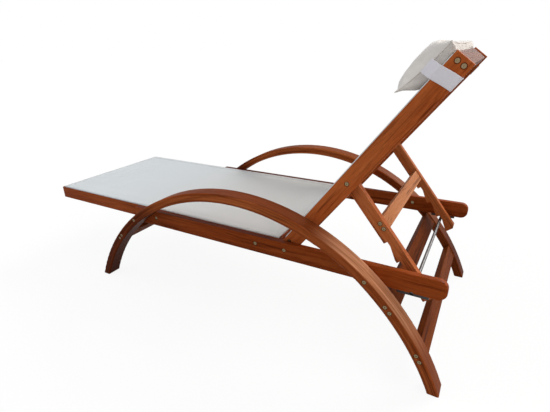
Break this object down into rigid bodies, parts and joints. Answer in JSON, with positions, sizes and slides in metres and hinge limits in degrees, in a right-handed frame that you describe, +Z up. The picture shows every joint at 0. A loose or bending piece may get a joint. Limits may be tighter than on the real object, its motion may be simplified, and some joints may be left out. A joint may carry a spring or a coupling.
{
  "type": "deck chair",
  "caption": "Reclining wooden deck chair: bent arms carry a sling seat, a sling back is held up by a notched folding prop, with a stuffed head pillow on an elastic band.",
  "frame": {"origin": "On the floor, at the middle of the chair's length and width.", "axes": "+X towards the head end, -Y towards the left side of the person who lies on it, +Z up."},
  "size_m": [1.6231, 0.709, 0.8872],
  "materials": {
    "arm_wood": "satin brown stain",
    "frame_wood": "satin red-brown stain",
    "board_wood": "satin brown stain",
    "sling_fabric": "plain woven",
    "pillow_fabric": "plain woven, stuffed",
    "band_fabric": "elastic webbing",
    "cord_plastic": "smooth",
    "bolt_steel": "yellow zinc plated",
    "rod_steel": "drawn",
    "strap_steel": "black, satin"
  },
  "bodies": {
    "base": {"arm_left": "arm_wood", "arm_right": "arm_wood", "side_rail_left": "frame_wood", "side_rail_right": "frame_wood", "seat_rail_left": "frame_wood", "seat_rail_right": "frame_wood", "foot_bar": "frame_wood", "seat_rear_bar": "frame_wood", "front_crossbar": "board_wood", "upper_rear_crossbar": "board_wood", "lower_rear_crossbar": "board_wood", "arm_bolts": "bolt_steel", "arm_nuts": "bolt_steel", "crossbar_bolts": "bolt_steel", "crossbar_barrel_nuts": "bolt_steel", "seat_frame_bolts": "bolt_steel", "seat_frame_nuts": "bolt_steel", "back_hinge_bolts": "bolt_steel", "back_hinge_nuts": "bolt_steel", "back_hinge_washers": "bolt_steel", "support_rod": "rod_steel", "rod_strap_left": "strap_steel", "rod_strap_right": "strap_steel", "rod_strap_screws": "strap_steel", "seat_sling": "sling_fabric", "seat_sling_cord": "cord_plastic"},
    "back": {"back_rail_left": "frame_wood", "back_rail_right": "frame_wood", "back_top_bar": "frame_wood", "back_low_bar": "frame_wood", "back_bar_bolts": "bolt_steel", "back_sling": "sling_fabric", "back_sling_cord": "cord_plastic", "prop_hinge_bolts": "bolt_steel", "prop_hinge_nuts": "bolt_steel", "prop_hinge_washers": "bolt_steel"},
    "prop": {"prop_leg_left": "frame_wood", "prop_leg_right": "frame_wood", "prop_slat": "frame_wood", "prop_slat_bolts": "bolt_steel"},
    "headrest": {"pillow": "pillow_fabric", "pillow_band": "band_fabric"}
  },
  "joints": [
    {"name": "back_recline", "type": "hinge", "parent": "base", "child": "back", "pos_m": [0.31547, 0, 0.297], "axis": [0, 1, 0], "range_deg": [0, 52.5]},
    {"name": "prop_swing", "type": "hinge", "parent": "back", "child": "prop", "pos_m": [0.498, 0, 0.53508], "axis": [0, -1, 0], "range_deg": [0, 97.9]},
    {"name": "headrest_slide", "type": "slide", "parent": "back", "child": "headrest", "axis": [-0.6084, 0, -0.7936], "range_m": [0, 0.14]}
  ],
  "couplings": [
    {"joint": "prop_swing", "follows": "back_recline", "ratio": 1.8647}
  ]
}
